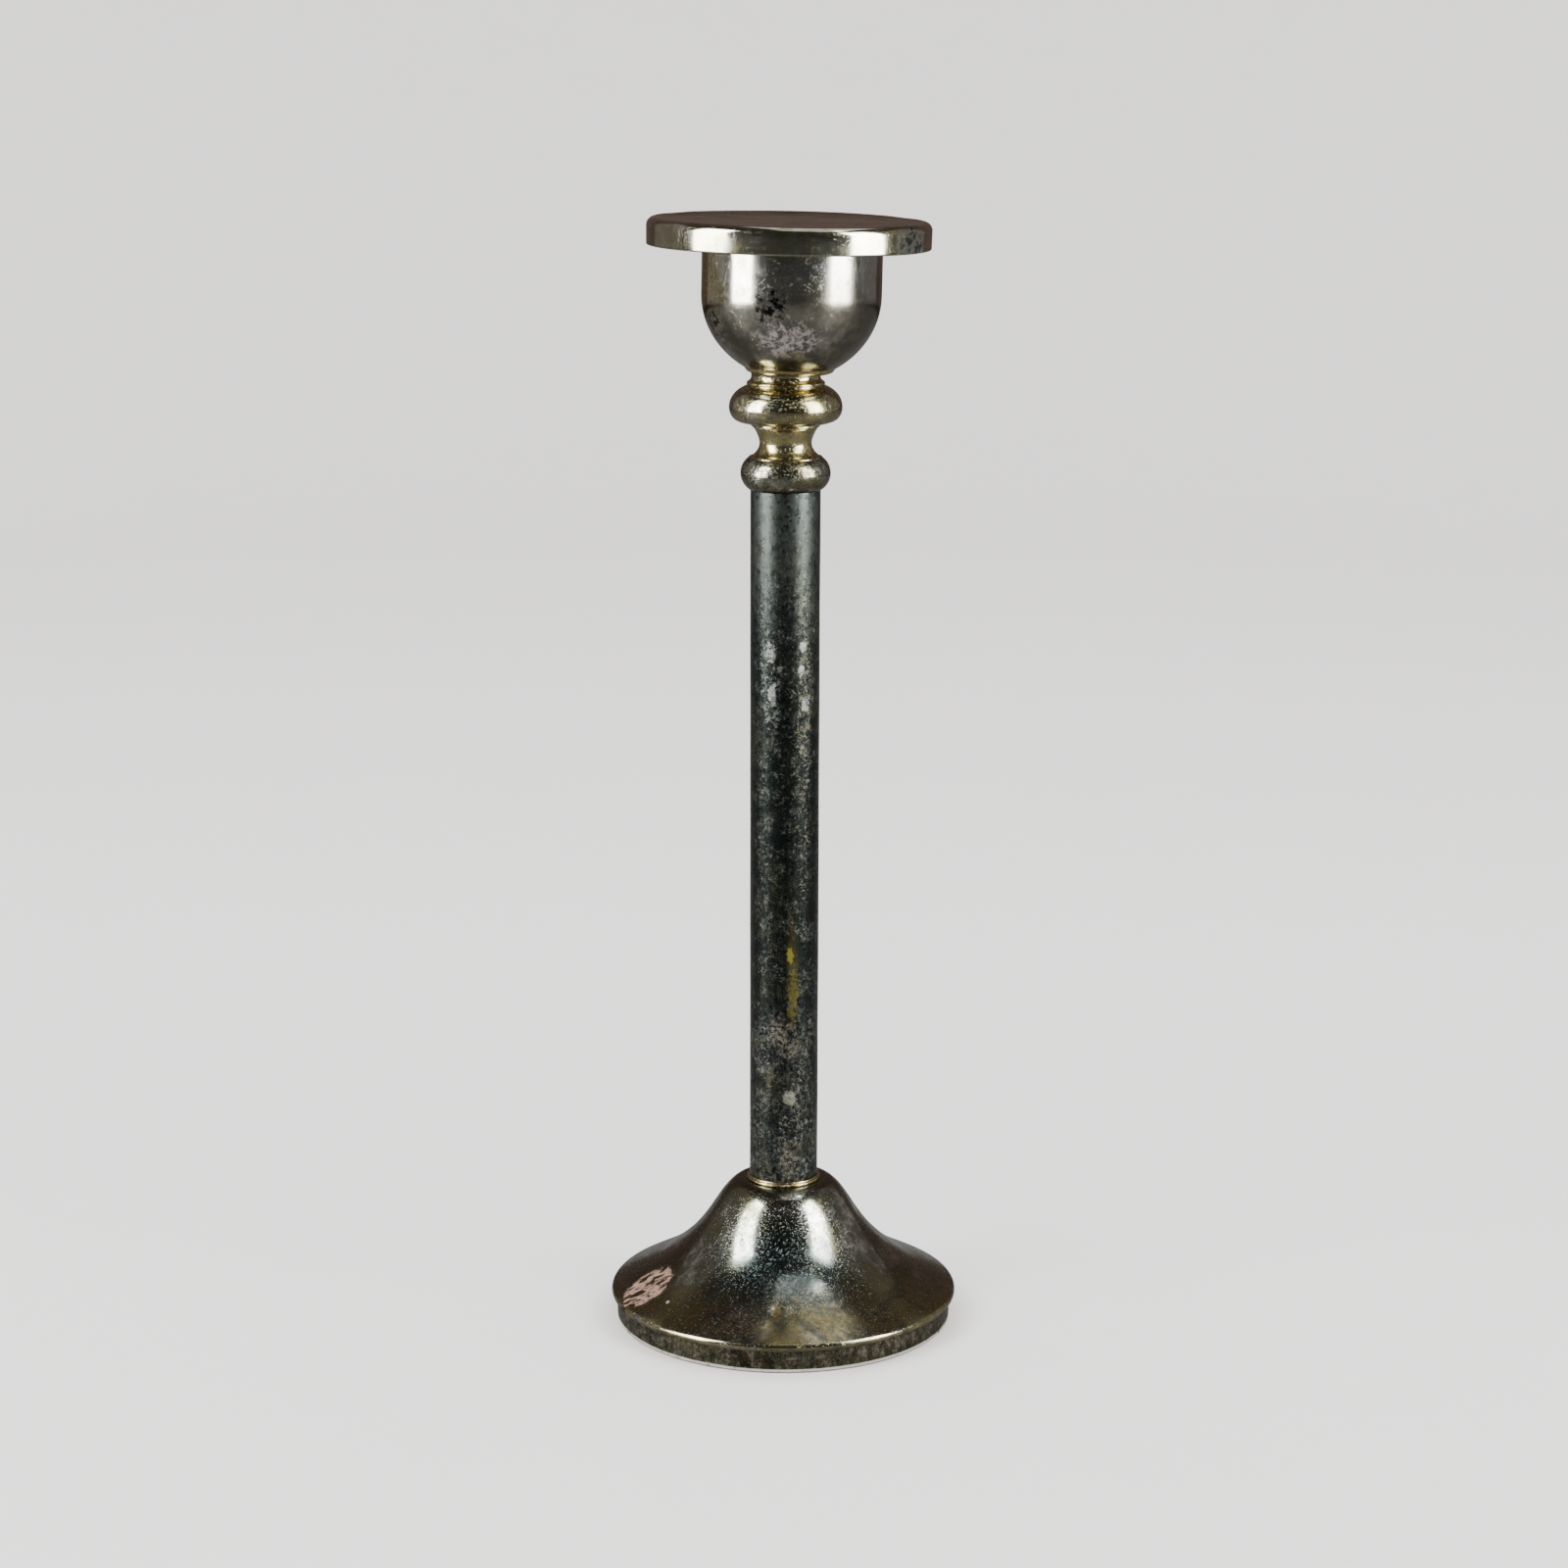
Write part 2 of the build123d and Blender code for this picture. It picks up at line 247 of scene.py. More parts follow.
# ---- shader building blocks --------------------------------------------------------
class Shader:
    """A material's node tree with short calls for the nodes used here."""

    def __init__(self, name, turning=UPRIGHT):
        self.material = bpy.data.materials.new(name)
        self.material.use_nodes = True
        self.tree = self.material.node_tree
        self.bsdf = self.tree.nodes["Principled BSDF"]
        where = self.tree.nodes.new("ShaderNodeTexCoord").outputs["Object"]
        if turning is not UPRIGHT:
            back = turning.inverted()
            where = self.mapped(where, back.translation, back.to_euler(), (1, 1, 1))
        self.where = self.mapped(where, (0, 0, 0), (0, 0, 0), (1 / MM,) * 3)
        parts = self.tree.nodes.new("ShaderNodeSeparateXYZ")
        self.link(self.where, parts.inputs[0])
        self.x, self.y, self.z = parts.outputs
        squares = [self.math("POWER", across, 2) for across in (self.x, self.y)]
        self.radius = self.math("SQRT", self.math("ADD", *squares))

    def link(self, source, socket):
        if isinstance(source, (int, float)):
            socket.default_value = source
        elif isinstance(source, tuple):
            full = (*source, 1) if len(source) == 3 and len(socket.default_value) == 4 else source
            socket.default_value = full
        else:
            self.tree.links.new(source, socket)

    def mapped(self, source, location, rotation, scale):
        node = self.tree.nodes.new("ShaderNodeMapping")
        self.link(source, node.inputs["Vector"])
        node.inputs["Location"].default_value = location
        node.inputs["Rotation"].default_value = rotation
        node.inputs["Scale"].default_value = scale
        return node.outputs[0]

    def math(self, operation, a, b=0.0, clamp=False):
        node = self.tree.nodes.new("ShaderNodeMath")
        node.operation = operation
        node.use_clamp = clamp
        self.link(a, node.inputs[0])
        self.link(b, node.inputs[1])
        return node.outputs[0]

    def times(self, first, *others):
        """Product of the values."""
        for other in others:
            first = self.math("MULTIPLY", first, other)
        return first

    def most(self, first, *others):
        """Highest of the values."""
        for other in others:
            first = self.math("MAXIMUM", first, other)
        return first

    def noise(self, size, detail=4.0, rough=0.55, distort=0.0, where=None):
        """Noise from 0 to 1 with features of about the given size in mm."""
        node = self.tree.nodes.new("ShaderNodeTexNoise")
        self.link(where or self.where, node.inputs["Vector"])
        node.inputs["Scale"].default_value = 1 / size
        node.inputs["Detail"].default_value = detail
        node.inputs["Roughness"].default_value = rough
        node.inputs["Distortion"].default_value = distort
        return node.outputs["Fac"]

    def cells(self, size, where=None):
        """Distance to and random colour of the nearest of points about size mm apart."""
        node = self.tree.nodes.new("ShaderNodeTexVoronoi")
        self.link(where or self.where, node.inputs["Vector"])
        node.inputs["Scale"].default_value = 1 / size
        return node.outputs["Distance"], node.outputs["Color"]

    def between(self, value, start, end, low=0.0, high=1.0, smooth=True):
        """Value mapped from start..end to low..high, clamped."""
        node = self.tree.nodes.new("ShaderNodeMapRange")
        node.interpolation_type = "SMOOTHSTEP" if smooth else "LINEAR"
        self.link(value, node.inputs["Value"])
        for key, number in (("From Min", start), ("From Max", end), ("To Min", low), ("To Max", high)):
            node.inputs[key].default_value = number
        return node.outputs[0]

    def patch(self, value, amount, soft=0.05, low=0.0, high=1.0, under=False):
        """1 over about the given share of the surface, where a noise value is highest or lowest."""
        edge = 0.5 + 0.3 * (0.5 - amount)
        if under:
            return self.between(value, 1 - edge + soft, 1 - edge - soft, low, high)
        return self.between(value, edge - soft, edge + soft, low, high)

    def mix(self, share, first, second):
        node = self.tree.nodes.new("ShaderNodeMix")
        node.data_type = "RGBA"
        self.link(share, node.inputs["Factor"])
        self.link(first, node.inputs["A"])
        self.link(second, node.inputs["B"])
        return node.outputs["Result"]

    def stretched(self, scale, turn=(0, 0, 0)):
        return self.mapped(self.where, (0, 0, 0), turn, scale)

    def spot(self, centre, reach, turn=(0, 0, 0), ragged=0.5, grain=2.5, edge=0.25):
        """1 inside a ragged ellipsoid round centre (mm), turned and then sized by reach, 0 outside."""
        shift = Euler(turn).to_matrix() @ Vector(centre)
        moved = self.mapped(self.where, -shift, turn, (1, 1, 1))
        scaled = self.mapped(moved, (0, 0, 0), (0, 0, 0), tuple(1 / v for v in reach))
        node = self.tree.nodes.new("ShaderNodeVectorMath")
        node.operation = "LENGTH"
        self.link(scaled, node.inputs[0])
        uneven = self.math("SUBTRACT", self.noise(grain, 5, 0.65), 0.5)
        wide = self.math("ADD", node.outputs["Value"], self.times(uneven, 2 * ragged))
        return self.between(wide, 1 + edge / 2, 1 - edge / 2)

    def specks(self, spacing, chosen, size):
        """Small round dots: a chosen share of points about spacing mm apart, up to size mm across."""
        distance, random = self.cells(spacing)
        parts = self.tree.nodes.new("ShaderNodeSeparateColor")
        self.link(random, parts.inputs[0])
        near = self.times(parts.outputs[1], size / 2 / spacing)
        dot = self.between(self.math("SUBTRACT", near, distance), -0.03, 0.03)
        return self.times(dot, self.math("GREATER_THAN", parts.outputs[0], 1 - chosen))

    def bump(self, height, strength, distance_mm, onto=None):
        node = self.tree.nodes.new("ShaderNodeBump")
        node.inputs["Strength"].default_value = strength
        node.inputs["Distance"].default_value = distance_mm * MM
        self.link(height, node.inputs["Height"])
        if onto:
            self.link(onto, node.inputs["Normal"])
        return node.outputs[0]


SILVER = (0.58, 0.57, 0.51)
FILM = (0.33, 0.305, 0.17)
GOLD = (0.52, 0.42, 0.19)
OLIVE = (0.12, 0.115, 0.060)
TEAL = (0.045, 0.064, 0.070)
BLACK = (0.007, 0.008, 0.009)
PALE = (0.52, 0.50, 0.46)


def patina(
    name, turning=UPRIGHT, film=0.4, dark=0.3, teal=0.5, pits=0.3, flecks=0.1, rough=0.08,
    gold=None, extra=None, clean=SILVER, film_tone=FILM, dark_tone=TEAL
):
    """Tarnished silver plate.

    film, dark, pits and flecks say how much of the surface has a yellow film, is darkened, pitted
    or rubbed pale, and teal how much of the dark is blue-black, all from 0 to 1.  gold and extra
    are functions that add a piece's own places of bare brass, wear and stains, and of painted shade,
    sheen and reflections.
    """
    s = Shader(name, turning)
    broad = s.noise(24, 3, 0.5)
    cloud = s.noise(8, 8, 0.66)
    fine = s.noise(2.2, 7, 0.74)
    grit = s.noise(0.9, 5, 0.78)
    dust = s.noise(0.42, 3, 0.7)
    mixed = s.math("ADD", s.times(broad, 0.45), s.times(cloud, 0.55))
    torn = s.math("ADD", s.times(mixed, 0.62), s.times(fine, 0.38))

    colour = s.mix(s.patch(mixed, film, 0.13), clean, film_tone)
    veil = s.mix(s.patch(mixed, teal, 0.10, under=True), OLIVE, dark_tone)
    shaded = s.patch(torn, dark, 0.085)
    colour = s.mix(s.times(shaded, 0.85), colour, veil)
    if gold:
        for share in gold(s):
            colour = s.mix(share, colour, s.mix(s.patch(fine, 0.5, 0.08), GOLD, FILM))

    # specks: dark dots where the film is thick, pale flecks where it has rubbed through
    black = s.times(s.patch(grit, pits * 0.62, 0.02), s.patch(fine, 0.25 + pits, 0.06))
    pale = s.times(s.patch(dust, flecks * 0.6, 0.03), s.patch(grit, 0.35 + flecks, 0.04, under=True))
    pale = s.most(pale, s.specks(3.1, flecks * 0.5, 1.3))
    colour = s.mix(s.times(pale, 0.8), colour, PALE)
    colour = s.mix(s.times(black, 0.86), colour, BLACK)
    colour = s.mix(s.patch(dust, 0.22, 0.08, 0.0, 0.25, under=True), colour, BLACK)

    # fine turning lines round the axis, and hairline scratches across them
    around = s.tree.nodes.new("ShaderNodeCombineXYZ")
    s.link(s.radius, around.inputs[0])
    s.link(s.z, around.inputs[2])
    rings = s.noise(0.4, 2, 0.5, where=around.outputs[0])
    hair_a = s.noise(1.0, 2, 0.5, 0.3, where=s.stretched((1.6, 1.6, 0.06), (0.5, 0.2, 0.3)))
    hair_b = s.noise(1.0, 2, 0.5, 0.3, where=s.stretched((0.08, 1.9, 1.9), (0.3, 0.7, -0.4)))
    lines = []
    for hair in (hair_a, hair_b):
        off_middle = s.math("ABSOLUTE", s.math("SUBTRACT", hair, 0.5))
        lines.append(s.between(off_middle, 0.012, 0.002))
    scratch = s.times(s.most(*lines), s.patch(broad, 0.45, 0.08))
    colour = s.mix(s.times(scratch, 0.22), colour, PALE)

    roughness = s.between(torn, 0.38, 0.66, rough, rough + 0.10)
    roughness = s.math("ADD", roughness, s.times(shaded, 0.05))
    roughness = s.math("ADD", roughness, s.times(black, 0.3), clamp=True)
    metal = 1.0
    if extra:
        colour, roughness, metal = extra(s, colour, roughness, metal)

    pitted = s.math("SUBTRACT", s.times(pale, 0.4), black)
    height = s.math("SUBTRACT", s.times(fine, 0.25), s.times(scratch, 0.1))
    normal = s.bump(rings, 0.10, 0.015)
    normal = s.bump(height, 0.5, 0.02, normal)
    normal = s.bump(pitted, 0.5, 0.04, normal)
    s.link(colour, s.bsdf.inputs["Base Color"])
    s.link(roughness, s.bsdf.inputs["Roughness"])
    s.link(metal, s.bsdf.inputs["Metallic"])
    s.link(normal, s.bsdf.inputs["Normal"])
    return s.material


def crust(s, state, share, colour, rough=0.55, metal=0.25):
    """Lays a dull patch over the colour, roughness and metal sockets."""
    base, roughness, metallic = state
    base = s.mix(share, base, colour)
    bare = s.math("SUBTRACT", 1.0, share)
    roughness = s.math("ADD", s.times(roughness, bare), s.times(share, rough))
    if metal < 1:
        metallic = s.times(metallic, s.math("SUBTRACT", 1.0, s.times(share, 1 - metal)))
    return base, roughness, metallic


# ---- worn and stained places, and painted shade, sheen and reflections, in mm ------
def bell_wear(s, *state):
    cool = s.spot((0.0, -30.0, 25.0), (19.0, 12.0, 13.0), (0, 0, 0), 0.7, 6.0, 0.9)
    speckled = s.patch(s.noise(1.1, 6, 0.76), 0.6, 0.05, 0.35, 0.75)
    state = crust(s, state, s.times(cool, speckled), (0.110, 0.150, 0.155), 0.12, 1.0)
    cloudy = s.spot((0.0, -36.0, 21.0), (6.0, 7.0, 5.0), (0, 0, 0), 1.0, 2.2, 0.8)
    second = s.spot((12.0, -40.0, 17.5), (8.0, 5.0, 5.0), (0, 0, 0), 1.0, 2.2, 0.9)
    mottle = s.patch(s.noise(1.5, 7, 0.78), 0.40, 0.05)
    share = s.times(s.most(cloudy, second), mottle)
    state = crust(s, state, s.times(share, 0.45), (0.38, 0.37, 0.31), 0.33, 0.9)

    place = (-44.2, -17.2, 14.8)
    grain = s.noise(1.0, 3, 0.5, where=s.stretched((0.17, 0.60, 0.3), (0, 0, 0.45)))
    rim = s.spot(place, (8.9, 9.6, 30), (0, 0, 0.4), 0.34, 3.4, 0.08)
    worn = s.spot(place, (8.0, 8.8, 30), (0, 0, 0.4), 0.34, 3.4, 0.08)
    holes = s.times(s.patch(grain, 0.62, 0.012), s.patch(s.noise(0.9, 4, 0.7), 0.85, 0.04))
    state = crust(s, state, s.times(rim, 0.95), (0.018, 0.011, 0.008), 0.6, 1.0)
    tone = s.mix(s.patch(s.noise(1.6, 6, 0.75), 0.5, 0.09), (0.13, 0.078, 0.056), (0.32, 0.20, 0.15))
    state = crust(s, state, s.times(worn, holes), tone, 0.45, 0.15)
    fleck = s.spot((-37.0, -30.0, 14.4), (0.6, 0.6, 3), (0, 0, 0), 0.3, 0.5, 0.3)
    state = crust(s, state, fleck, (0.3, 0.28, 0.25), 0.4, 0.4)
    bared = s.spot((-2.2, -44.0, 16.4), (0.8, 1.9, 3), (0, 0, 0.2), 1.0, 0.9, 0.4)
    return crust(s, state, s.times(bared, 0.8), (0.34, 0.21, 0.07), 0.25, 1.0)


def bell_gold(s):
    lower = s.between(s.z, 22.0, 12.0)
    front = s.between(s.y, 5.0, -25.0)
    cloud = s.patch(s.noise(11, 5, 0.65, 0.5), 0.7, 0.08)
    return [s.times(s.times(lower, s.times(cloud, front)), 0.6)]


def column_wear_and_painted_sheen(s, *state):
    streak = s.noise(1.0, 4, 0.6, where=s.stretched((1.1, 1.1, 0.05)))
    state = crust(s, state, s.patch(streak, 0.35, 0.05, 0.0, 0.35), (0.010, 0.012, 0.013), 0.3, 1.0)
    lighter = s.patch(streak, 0.25, 0.04, 0.0, 0.25, under=True)
    state = crust(s, state, lighter, (0.085, 0.10, 0.085), 0.28, 1.0)
    # Painted sheen: a lighter, duller tone laid over the top of the column, where the soft highlight falls.
    painted_top_sheen = s.times(s.between(s.z, 215.0, 262.0), s.patch(s.noise(2.4, 7, 0.76), 0.60, 0.07))
    state = crust(s, state, s.times(painted_top_sheen, 0.88), (0.076, 0.085, 0.078), 0.40, 1.0)

    # Darker from z 250 mm down to 205 mm, and less so below 120 mm, in broken clouds.
    darker_cloud = s.patch(s.noise(4.5, 7, 0.72), 0.7, 0.12, 0.35, 1.0)
    darker_band = s.times(s.between(s.z, 250.0, 205.0), darker_cloud)
    darker_band = s.times(darker_band, s.between(s.z, 70.0, 120.0, 0.3, 0.7))
    state = crust(s, state, darker_band, (0.010, 0.015, 0.014), 0.27, 1.0)
    curls = s.patch(s.noise(1.9, 6, 0.72, 0.9), 0.34, 0.02)
    crumbs = s.patch(s.noise(1.1, 5, 0.74, 0.8), 0.26, 0.02)
    dots = s.most(s.times(curls, 0.8), crumbs)
    left = s.spot((-4.2, -10.2, 213.0), (3.0, 3.4, 17.0), (0, 0, 0), 1.3, 3.4, 0.4)
    right = s.spot((6.5, -8.9, 209.0), (3.2, 3.0, 19.0), (0, 0, 0), 1.3, 3.0, 0.4)
    state = crust(s, state, s.times(left, curls, 0.7), (0.16, 0.185, 0.17), 0.38, 0.8)
    state = crust(s, state, s.times(right, dots, 0.6), (0.18, 0.17, 0.125), 0.42, 0.8)
    stripe = s.spot((6.0, -9.4, 200.0), (3.6, 3.0, 56.0), (0, 0, 0), 1.2, 3.0, 0.6)
    state = crust(s, state, s.times(stripe, crumbs, 0.6), (0.22, 0.195, 0.11), 0.45, 0.65)
    bare_places = [
        ((-4.6, -10.0, 222.0), (1.5, 2.0, 3.2)),
        ((-4.0, -10.2, 209.0), (1.3, 2.0, 3.6)),
        ((5.6, -9.4, 224.0), (1.1, 2.0, 1.6)),
        ((5.0, -9.8, 216.5), (1.2, 2.0, 1.5)),
        ((6.6, -8.8, 205.0), (1.2, 2.0, 2.2)),
        ((-8.0, 7.5, 190.0), (2.2, 2.4, 4.0)),
    ]
    for place, reach in bare_places:
        bare = s.spot(place, reach, (0, 0, 0), 1.5, 1.5, 0.25)
        tone = s.mix(s.patch(s.noise(0.9, 5, 0.7), 0.6, 0.08), (0.08, 0.09, 0.08), (0.38, 0.40, 0.36))
        state = crust(s, state, s.times(bare, 0.8), tone, 0.4, 0.7)
    pitted = s.between(s.z, 266.0, 226.0)
    all_round = s.times(s.patch(s.noise(5.5, 5, 0.66), 0.5, 0.05), pitted)
    flaked = s.times(all_round, s.most(crumbs, s.times(curls, 0.4)))
    state = crust(s, state, s.times(flaked, 0.65), (0.19, 0.20, 0.165), 0.42, 0.75)
    pocked = s.times(s.patch(s.noise(1.4, 6, 0.75), 0.30, 0.02, under=True), pitted)
    state = crust(s, state, s.times(pocked, 0.85), BLACK, 0.4, 1.0)

    stain = s.spot((1.9, -10.8, 124.5), (1.1, 1.6, 2.9), (0, 0, 0), 1.6, 1.3, 0.5)
    drip = s.spot((2.9, -10.6, 111.0), (1.5, 1.6, 8.0), (0, 0, 0), 2.4, 1.3, 0.9)
    washed = s.spot((2.6, -10.6, 121.0), (1.6, 1.8, 15.0), (0, 0, 0), 0.6, 3.0, 1.2)
    yellow = s.most(stain, s.times(drip, 0.5))
    yellow = s.most(yellow, s.times(washed, 0.18))
    state = crust(s, state, s.times(yellow, 0.75), (0.30, 0.25, 0.03), 0.35, 0.6)

    low_part = s.between(s.z, 116.0, 92.0)
    where = s.patch(s.noise(6.0, 5, 0.66, where=s.stretched((1, 1, 0.6))), 0.5, 0.07)
    scaled = s.times(low_part, where, s.most(crumbs, s.times(curls, 0.4)))
    tone = s.mix(s.patch(s.noise(3.2, 5, 0.7), 0.5, 0.05), (0.15, 0.165, 0.165), (0.25, 0.235, 0.185))
    state = crust(s, state, s.times(scaled, 0.65), tone, 0.5, 0.6)
    broken = s.patch(s.noise(1.2, 7, 0.78), 0.55, 0.04)
    blots = [
        ((1.0, -10.9, 55.0), (2.6, 3.0, 6.5)),
        ((2.6, -10.4, 92.0), (2.2, 2.4, 2.8)),
        ((-1.5, -10.8, 98.0), (3.0, 2.4, 5.0)),
        ((-6.0, 9.0, 60.0), (4.0, 3.0, 7.0)),
    ]
    for place, reach in blots:
        blot = s.times(s.spot(place, reach, (0, 0, 0), 1.6, 2.0, 0.7), broken)
        tone = s.mix(s.patch(s.noise(0.8, 5, 0.75), 0.5, 0.06), (0.075, 0.065, 0.048), (0.25, 0.225, 0.175))
        state = crust(s, state, s.times(blot, 0.7), tone, 0.5, 0.5)
    pale = s.spot((1.9, -10.8, 76.5), (2.1, 1.9, 2.3), (0, 0, 0), 0.5, 1.5, 0.25)
    tone = s.mix(s.patch(s.noise(1.0, 5, 0.7), 0.5, 0.08), (0.11, 0.11, 0.085), (0.26, 0.25, 0.20))
    return crust(s, state, s.times(pale, 0.85), tone, 0.5, 0.5)


def cup_wear_and_painted_light(s, *state):
    # A pale, dull wash over the front of the cup: partly a haze on the plate, partly a painted reflection
    # of the light below the highlights.
    haze_and_painted_reflection = s.spot((9.0, -26.0, 26.0), (22.0, 12.0, 22.0), (0, 0, 0), 0.6, 9.0, 1.4)
    state = crust(s, state, s.times(haze_and_painted_reflection, 0.35), (0.50, 0.49, 0.46), 0.30, 1.0)
    # The lower half of the cup is darker all round: partly a dark film, partly painted shade of the
    # downward-facing bowl.
    lower_film_and_painted_shade = s.times(s.between(s.z, 29.0, 12.0), s.patch(s.noise(9.0, 6, 0.68), 0.75, 0.16))
    state = crust(s, state, s.times(lower_film_and_painted_shade, 0.85), (0.09, 0.09, 0.072), 0.17, 1.0)
    # Painted shade: a darker spot over the front of the cup's right flank.
    right_flank_painted_shade = s.spot((26.0, -14.0, 20.0), (12.0, 15.0, 26.0), (0, 0, 0), 0.5, 8.0, 1.0)
    state = crust(s, state, s.times(right_flank_painted_shade, 0.6), (0.12, 0.112, 0.10), 0.16, 1.0)
    patch = s.spot((-0.8, -24.8, 12.2), (9.0, 6.5, 5.6), (0, 0.1, 0), 1.0, 3.0, 0.9)
    flake = s.patch(s.noise(2.6, 8, 0.78), 0.52, 0.06)
    tone = s.mix(s.patch(s.noise(1.3, 6, 0.75), 0.5, 0.08), (0.16, 0.135, 0.125), (0.46, 0.39, 0.37))
    state = crust(s, state, s.times(patch, flake, 0.8), tone, 0.45, 0.5)
    dull = s.spot((-0.2, -24.8, 11.5), (11.0, 8.0, 8.0), (0, 0.1, 0), 0.8, 3.0, 1.0)
    state = crust(s, state, s.times(dull, 0.4), (0.20, 0.20, 0.20), 0.34, 1.0)
    bitten = s.patch(s.noise(2.2, 7, 0.76), 0.46, 0.02)
    pit = s.spot((-6.3, -27.0, 22.5), (4.2, 3.6, 6.0), (0, 0, 0), 1.0, 2.4, 0.4)
    side = s.spot((-24.5, -12.0, 13.0), (5.0, 6.0, 7.5), (0, 0, 0), 1.2, 2.0, 0.6)
    back = s.spot((12.0, 24.0, 20.0), (6.0, 5.0, 8.0), (0, 0, 0), 1.2, 2.0, 0.6)
    marks = s.times(s.most(pit, side, back), bitten)
    return crust(s, state, s.times(marks, 0.96), BLACK, 0.2, 1.0)


def cup_gold(s):
    foot = s.between(s.z, 6.0, 3.0)
    edge = s.times(s.between(s.x, -18.0, -26.0), 0.7)
    return [s.times(foot, 0.7), edge]


def pan_wear_and_painted_reflection(s, *state):
    rim = s.between(s.radius, 42.8, 43.6)
    yellow = s.times(rim, s.patch(s.noise(7, 5, 0.66), 0.62, 0.12))
    state = crust(s, state, s.times(yellow, 0.6), (0.36, 0.345, 0.20), 0.12, 1.0)
    # Painted reflection: a dull olive-grey over the front of the rim, between the highlights, where the
    # real rim mirrors the table in front.
    front = s.spot((-3.0, -44.0, -4.6), (22.0, 10.0, 3.2), (0, 0, 0), 0.5, 6.0, 0.8)
    state = crust(s, state, s.times(front, rim, 0.4), (0.22, 0.22, 0.15), 0.33, 1.0)
    left = s.spot((-38.0, -22.0, -3.0), (8.0, 9.0, 5.0), (0, 0, 0), 0.6, 4.0, 0.8)
    state = crust(s, state, s.times(left, rim, 0.5), (0.17, 0.17, 0.085), 0.22, 1.0)
    right = s.spot((37.0, -24.0, -3.0), (6.5, 8.0, 5.0), (0, 0, 0), 0.8, 2.5, 0.6)
    behind = s.spot((-20.0, 39.0, -3.0), (8.0, 6.0, 5.0), (0, 0, 0), 0.8, 2.5, 0.6)
    blotch = s.most(right, behind)
    bitten = s.patch(s.noise(1.9, 6, 0.74), 0.48, 0.03)
    state = crust(s, state, s.times(blotch, 0.5), (0.20, 0.235, 0.24), 0.30, 1.0)
    return crust(s, state, s.times(blotch, bitten, 0.95), BLACK, 0.4, 1.0)


def knop_gold(s):
    z_top = high("knop")
    crown = s.between(s.z, z_top - 8.0, z_top - 5.0)
    cloud = s.patch(s.noise(6, 5, 0.6, 0.5), 0.6, 0.08)
    return [s.most(s.times(crown, 0.75), s.times(cloud, 0.5))]


def all_gold(s):
    return [s.patch(s.noise(5, 6, 0.65, 0.5), 0.7, 0.08, 0.45, 0.95)]


def band_wear_and_painted_reflection(s, *state):
    tone = s.mix(s.patch(s.noise(1.2, 6, 0.75), 0.5, 0.08), (0.026, 0.020, 0.014), (0.20, 0.175, 0.14))
    scale = s.patch(s.noise(3.2, 7, 0.76), 0.46, 0.04)
    state = crust(s, state, s.times(scale, 0.8), tone, 0.42, 0.75)
    streak = s.noise(1.4, 5, 0.7, where=s.stretched((0.7, 0.7, 0.22)))
    state = crust(s, state, s.patch(streak, 0.4, 0.08, 0.0, 0.6), BLACK, 0.3, 1.0)
    # Painted reflection and wear: the lowest millimetre of the band is pale and matt, partly plating rubbed
    # through at the edge, partly the bright floor that the real edge mirrors.
    edge = low("foot_band")
    rubbed = s.patch(s.noise(4.0, 6, 0.7), 0.8, 0.08)
    worn = s.times(s.between(s.z, edge + 1.15, edge + 0.85), rubbed)
    return crust(s, state, s.times(worn, 0.9), (0.55, 0.53, 0.47), 0.45, 0.3)


# ---- finished pieces ---------------------------------------------------------------
def turned_waves(size, height, seed):
    return lambda place, angle: waves(place, size, height, seed)


def dented(size, height, seed, dents):
    """Waves with a few shallow dents: each is (angle in degrees, radius, z, reach, depth) in mm."""

    def relief(place, angle):
        push = waves(place, size, height, seed)
        for at, radius, level, reach, depth in dents:
            turn = np.radians(at)
            spot = Vector((radius * np.cos(turn), radius * np.sin(turn), level))
            push -= depth * np.exp(-((place - spot).length / reach) ** 2)
        return push

    return relief


def make_bell():
    top, bottom, foot = high("base_bell"), low("base_bell"), high("base_bell", 0)
    roll = 1.6
    centre = np.array((foot - roll, bottom + 1.4))
    flare_end = centre + roll * np.array((0.48, 0.877))
    flare = [(13.5, top), (17.9, 44.0), (22.3, 38.0), (27.8, 30.0), (35.8, 22.0), (45.0, 15.8), flare_end]
    outer = run((BORE, top), (13.5, top)) + spline(flare, (1, 0), (1.8, -1))
    half = np.sqrt(roll**2 - (centre[1] - bottom) ** 2)
    edge = arc(flare_end, centre + (roll, 0), centre + (half, bottom - centre[1]), 0.2)
    under = run(centre + (half, bottom - centre[1]), centre + (-half, bottom - centre[1]), 0.3)
    inner_end = centre + roll * np.array((-0.93, 0.36))
    back = arc(centre + (-half, bottom - centre[1]), centre + (-roll, 0), inner_end, 0.3)
    sheet = [p for p in beside(outer, SHEET) if p[0] < inner_end[0] - 0.6][::-1]
    dents = [(250, 34, 24, 6, 0.12), (310, 48, 14, 8, 0.15), (100, 28, 30, 9, 0.25), (20, 41, 18, 7, 0.2)]
    relief = dented(34, 0.16, 3.1, dents)
    return lathe("base_bell_spun", outer + edge + under + back + sheet, segments=320, relief=relief)


def make_band():
    z0, z1, r = low("foot_band"), high("foot_band"), high("foot_band", 0)
    outline = softened([(r - 1.5, z0), (r, z0), (r, z1), (r - 1.5, z1)], 0.3)
    return lathe("foot_band_drawn", outline, segments=360, relief=turned_waves(18, 0.10, 7.7))


